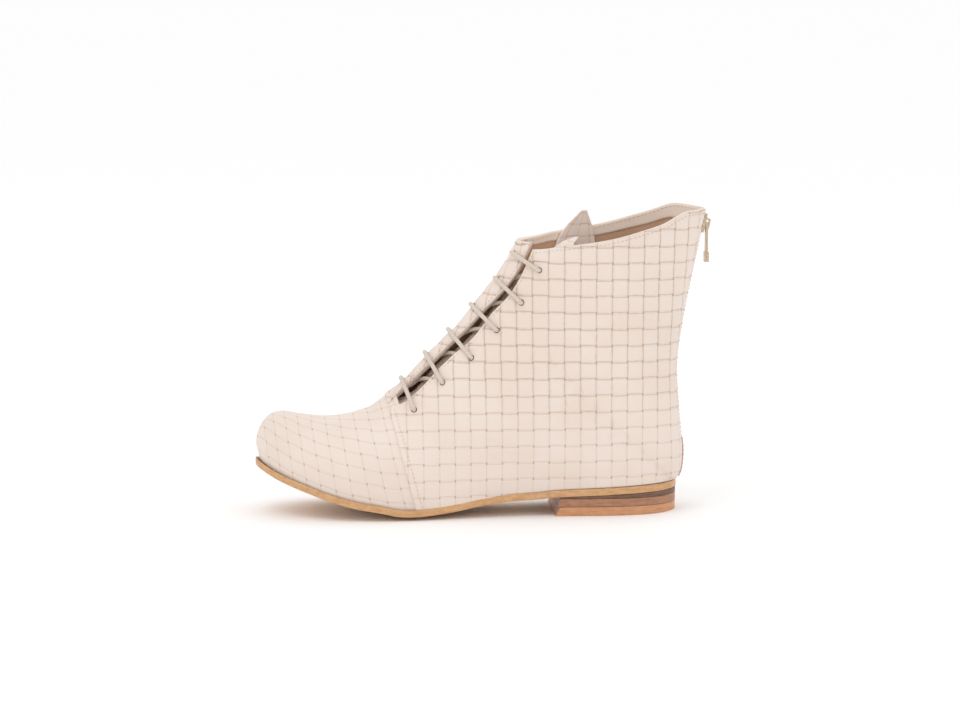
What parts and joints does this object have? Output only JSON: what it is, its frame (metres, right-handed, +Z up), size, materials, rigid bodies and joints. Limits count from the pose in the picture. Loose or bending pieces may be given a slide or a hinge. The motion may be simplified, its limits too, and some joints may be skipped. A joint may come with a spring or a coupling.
{
  "type": "lace-up ankle boot",
  "caption": "Left lace-up ankle boot with woven-look leather upper, back zip, leather outsole and low stacked heel.",
  "frame": {"origin": "on the floor, on the flat underside of the heel, under the middle of the heel", "axes": "+Z up, toe towards -X, outer side of the left foot towards -Y"},
  "size_m": [0.2849, 0.0856, 0.1901],
  "materials": {
    "upper_leather": "embossed, satin",
    "lining": "matte",
    "sole_edge": "burnished",
    "heel_tan": "satin",
    "heel_brown": "satin",
    "heel_dark": "satin",
    "lace": "waxed cord",
    "zip_tape": "woven tape",
    "zip_metal": "satin"
  },
  "bodies": {
    "boot": {"outsole": "sole_edge", "heel_wedge": "heel_dark", "heel_lift": "heel_brown", "heel_top_piece": "heel_tan", "insole": "lining", "upper": "upper_leather", "tongue": "upper_leather", "tongue_wing": "upper_leather", "lace": "lace", "zip_chain": "zip_tape", "back_strip": "upper_leather", "zip_slider": "zip_metal"},
    "pull_tab": {"zip_pull": "zip_metal"}
  },
  "joints": [
    {"name": "pull_hinge", "type": "hinge", "parent": "boot", "child": "pull_tab", "pos_m": [0.05929, 0, 0.17937], "axis": [0, 1, 0], "range_deg": [-150, 6]}
  ]
}
